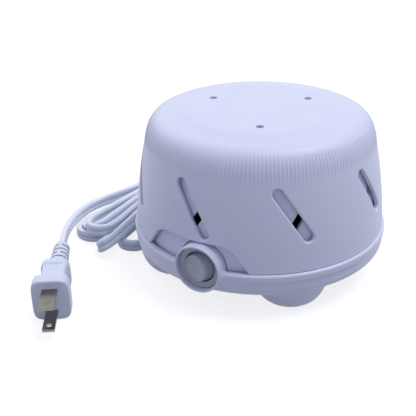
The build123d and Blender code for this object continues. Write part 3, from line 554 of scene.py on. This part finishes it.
# mains cord: a feed from the wall, a hank in two layers and a lead to the plug
lowRow, highRow = 0.00345, 0.01035  # heights of the layers: half and one and a half widths
cord = {
    "width": 0.0069,
    "thickness": 0.0035,
    "grooveDepth": 0.0012,
    "grooveWidth": 0.0007,
    "square": 3.4,  # how flat the two cores' sides are
    "coreSteps": 6,
    "pointSteps": 8,
    "bendPoints": 6,
    "tied": (0.022, 0.030),  # every strand is straight between these places along Y
    # x, y, z and the tilt in degrees
    "feed": [
        (0.0, 0.0978, 0.020, 0), (0.0, 0.116, 0.020, 0), (-0.004, 0.135, 0.014, 0),
        (-0.014, 0.149, 0.0075, 0), (-0.030, 0.155, 0.0040, 0), (-0.047, 0.149, lowRow, 0),
        (-0.059, 0.132, lowRow, 0), (-0.0635, 0.109, lowRow, 0), (-0.063, 0.084, lowRow, 0),
        (-0.0615, 0.057, lowRow, 0), (-0.0615, 0.028, lowRow, 0), (-0.0622, 0.004, lowRow, 0),
        (-0.0620, -0.012, lowRow, 0), (-0.0629, -0.0250, lowRow, 0),
        (-0.0678, -0.0328, lowRow, 0), (-0.0760, -0.0344, lowRow, 0),
        (-0.0823, -0.0286, lowRow, 0), (-0.0838, -0.017, lowRow, 0)],
    # a strand's place in the tie (x, z), then the bend after it: start, end, way along Y and
    # three tilts in degrees
    "hank": [
        ((-0.0852, lowRow), (-0.0815, 0.092, lowRow), (-0.0675, 0.092, 0.0090), 1, (0, 0, 0)),
        ((-0.0858, highRow), (-0.0775, -0.0435, 0.0103), (-0.0862, -0.0415, 0.0042), -1,
         (36, 10, -30)),
        ((-0.0889, lowRow), (-0.0855, 0.111, lowRow), (-0.0998, 0.111, lowRow), 1, (0, 0, 0)),
        ((-0.0926, lowRow), (-0.0912, -0.0245, lowRow), (-0.1142, -0.0245, lowRow), -1,
         (0, 0, 0)),
        ((-0.1000, lowRow), (-0.1175, 0.093, lowRow), (-0.1035, 0.093, lowRow), 1, (0, 0, 0)),
        ((-0.0963, lowRow), (-0.1104, -0.0240, lowRow), (-0.0964, -0.0240, 0.0085), -1,
         (0, 0, 0)),
        ((-0.0948, highRow), (-0.0970, 0.085, highRow), (-0.0830, 0.085, highRow), 1, (0, 0, 0)),
        ((-0.0908, highRow), (-0.0865, -0.0285, highRow), (-0.1035, -0.0285, highRow), -1,
         (0, 0, 0)),
        ((-0.0985, highRow), (-0.1015, 0.107, highRow), (-0.1155, 0.107, highRow), 1, (0, 0, 0)),
    ],
    "lead": [
        (-0.1120, 0.080, highRow, 0), (-0.1070, 0.058, highRow, 0), (-0.1048, 0.038, 0.0098, 0),
        (-0.1080, 0.0262, 0.0084, 0), (-0.1148, 0.0178, 0.0063, 0),
        (-0.1215, 0.0098, 0.0045, 0), (-0.1257, -0.0010, lowRow, 0),
        (-0.1254, -0.0135, lowRow, 0), (-0.1207, -0.0280, 0.0047, 0),
        (-0.1130, -0.0420, 0.0073, 0), (-0.1035, -0.0555, 0.0110, 0),
        (-0.09554, -0.06697, 0.0122, 0)],
}


def hankBend(start, end, way, tilts):
    # half a turn, from one strand's place to the next, with a straight point at each side
    first, last = Vector(start), Vector(end)
    middle, half = (first + last) / 2, (first - last) / 2
    straight = Vector((0, way * half.length, 0))
    points = [(*(first - straight), tilts[0])]
    for step in range(cord["bendPoints"]):
        share = step / (cord["bendPoints"] - 1)
        angle = math.pi * share
        place = middle + half * math.cos(angle) + straight * math.sin(angle)
        tilt = (tilts[0] + (tilts[1] - tilts[0]) * min(1, share * 2)
                + (tilts[2] - tilts[1]) * max(0, share * 2 - 1))
        points.append((*place, tilt))
    return points + [(*(last - straight), tilts[2])]


def cordRoute():
    points = list(cord["feed"])
    for (x, z), start, end, way, tilts in cord["hank"]:
        ties = sorted(cord["tied"], reverse=way < 0)
        points += [(x, y, z, 0) for y in ties] + hankBend(start, end, way, tilts)
    return points + cord["lead"]


def sectionCurve():
    # two cores with flattened sides in one jacket, and a narrow groove between them
    curve = bpy.data.curves.new("cordSection", "CURVE")
    curve.dimensions = "2D"
    radius, square = cord["thickness"] / 2, cord["square"]
    centre = cord["width"] / 2 - radius
    inner = (centre - cord["grooveWidth"] / 2) / radius
    reach = math.pi / 2 + math.atan2(inner, (1 - inner ** square) ** (1 / square))
    half = cord["coreSteps"]
    corners = []
    for side in (1, -1):
        for step in range(-half, half + 1):
            x, y = math.sin(reach * step / half), math.cos(reach * step / half)
            stretch = radius * (abs(x) ** square + abs(y) ** square) ** (-1 / square)
            corners.append((side * stretch * x, side * (centre + stretch * y)))
        corners.append((side * (radius - cord["grooveDepth"]), 0))
    spline = curve.splines.new("POLY")
    spline.points.add(len(corners) - 1)
    for point, (x, y) in zip(spline.points, corners):
        point.co = (x, y, 0, 1)
    spline.use_cyclic_u = True
    return bpy.data.objects.new("cordSection", curve)


def makeCord(made):
    route = cordRoute()
    curve = bpy.data.curves.new("cordLine", "CURVE")
    curve.dimensions = "3D"
    curve.twist_mode = "Z_UP"
    spline = curve.splines.new("NURBS")
    spline.points.add(len(route) - 1)
    for point, (x, y, z, tilt) in zip(spline.points, route):
        point.co = (x, y, z, 1)
        point.tilt = math.radians(tilt)
    spline.order_u = 3
    spline.use_endpoint_u = True
    spline.resolution_u = cord["pointSteps"]
    line = bpy.data.objects.new("cordLine", curve)
    # without a section the curve gives its own centre line
    bare = bpy.data.meshes.new_from_object(line)
    section = sectionCurve()
    for item in (line, section):
        bpy.context.scene.collection.objects.link(item)
    curve.bevel_mode = "OBJECT"
    curve.bevel_object = section
    curve.use_fill_caps = True
    graph = bpy.context.evaluated_depsgraph_get()
    mesh = bpy.data.meshes.new_from_object(line.evaluated_get(graph), depsgraph=graph)
    for item in (line, section):
        bpy.data.objects.remove(item)
    shape = bmesh.new()
    shape.from_mesh(mesh)
    piece = newPiece("mains_cord", finishMesh(shape), made["cord_pvc"], "base")
    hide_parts("cord_feed", "cord_hank", "cord_lead")


# strip tied round the hank
tie = {
    "middle": (-0.0927, 0.0260, 0.0071),
    "halfWidth": 0.0102,
    "halfHeight": 0.0070,
    "square": 4.0,
    "strip": 0.0042,  # width along Y
    "thickness": 0.0005,
    "sides": 48,
}


def makeTie(made):
    shape = bmesh.new()
    rings = []
    for side, inner in ((-1, 1), (-1, 0), (1, 0), (1, 1)):
        width = 2 * (tie["halfWidth"] - inner * tie["thickness"])
        height = 2 * (tie["halfHeight"] - inner * tie["thickness"])
        rings.append(squareRing(shape, tie["sides"], side * tie["strip"] / 2, width, height,
                                tie["square"]))
    bridgeRings(shape, rings + rings[:1])
    turn = Matrix.Translation(tie["middle"]) @ Matrix.Rotation(math.radians(90), 4, "X")
    bmesh.ops.transform(shape, matrix=turn, verts=shape.verts[:])
    piece = newPiece("hank_tie", finishMesh(shape), made["wire_pvc"], "base")


# a soft light from above and a weaker one from the left, over a pale floor
lighting = {
    "sky": 0.47,
    "skyColour": "#DEE4FC",
    "key": 1.65,
    "keyFrom": (0.34, 0.22, 0.91),
    "keySoft": 34.0,  # degrees across
    "fill": 0.6,
    "fillFrom": (-0.85, 0.05, 0.52),
    "fillSoft": 60.0,
    "floorShade": "#9C9CA2",
    "floorGlow": 0.80,
    "floorSize": 6.0,
}


def whiteToTheEye(tree):
    # 1 for rays that come from the camera, a reflection or through glass
    path = addNode(tree, "ShaderNodeLightPath")
    seen = addNode(tree, "ShaderNodeMath",
                   {0: path.outputs["Is Camera Ray"], 1: path.outputs["Is Glossy Ray"]},
                   operation="ADD")
    return addNode(tree, "ShaderNodeMath",
                   {0: seen.outputs[0], 1: path.outputs["Is Transmission Ray"]},
                   operation="ADD", use_clamp=True).outputs[0]


def makeFloor():
    shape = bmesh.new()
    bmesh.ops.create_grid(shape, x_segments=1, y_segments=1, size=lighting["floorSize"] / 2)
    floor = bpy.data.objects.new("floor", finishMesh(shape))
    bpy.context.scene.collection.objects.link(floor)
    # white paper: matt, takes the shadow and is otherwise nearly white
    material = bpy.data.materials.new("whitePaper")
    material.use_nodes = True
    tree = material.node_tree
    tree.nodes.remove(tree.nodes["Principled BSDF"])
    paper = addNode(tree, "ShaderNodeBsdfDiffuse", {"Color": toLinear(lighting["floorShade"])})
    strength = addNode(tree, "ShaderNodeMath",
                       {0: whiteToTheEye(tree), 1: lighting["floorGlow"]}, operation="MULTIPLY")
    glow = addNode(tree, "ShaderNodeEmission", {"Strength": strength.outputs[0]})
    both = addNode(tree, "ShaderNodeAddShader", {0: paper.outputs[0], 1: glow.outputs[0]})
    tree.links.new(both.outputs[0], tree.nodes["Material Output"].inputs["Surface"])
    floor.data.materials.append(material)
    print("floor ready")


def makeLight():
    world = bpy.data.worlds.new("room")
    bpy.context.scene.world = world
    world.use_nodes = True
    tree = world.node_tree
    sky = tree.nodes["Background"]
    seen = whiteToTheEye(tree)
    colour = addNode(tree, "ShaderNodeMix", {"Factor": seen}, data_type="RGBA")
    colour.inputs["A"].default_value = toLinear(lighting["skyColour"])
    colour.inputs["B"].default_value = (1, 1, 1, 1)
    strength = addNode(tree, "ShaderNodeMapRange",
                       {"Value": seen, "To Min": lighting["sky"], "To Max": 1.0})
    tree.links.new(colour.outputs["Result"], sky.inputs["Color"])
    tree.links.new(strength.outputs["Result"], sky.inputs["Strength"])
    for name in ("key", "fill"):
        data = bpy.data.lights.new(name, "SUN")
        data.energy = lighting[name]
        data.angle = math.radians(lighting[name + "Soft"])
        lamp = bpy.data.objects.new(name, data)
        heading = Vector(lighting[name + "From"])
        lamp.rotation_euler = heading.to_track_quat("Z", "Y").to_euler()
        bpy.context.scene.collection.objects.link(lamp)
    bpy.context.scene.view_settings.view_transform = "Standard"
    print("light ready")


makeCamera()
made = makeMaterials()
makeRibs(made)
makeMarks()
makePlug(made)
makeTie(made)
makeCord(made)
makeFloor()
makeLight()
print("finish")
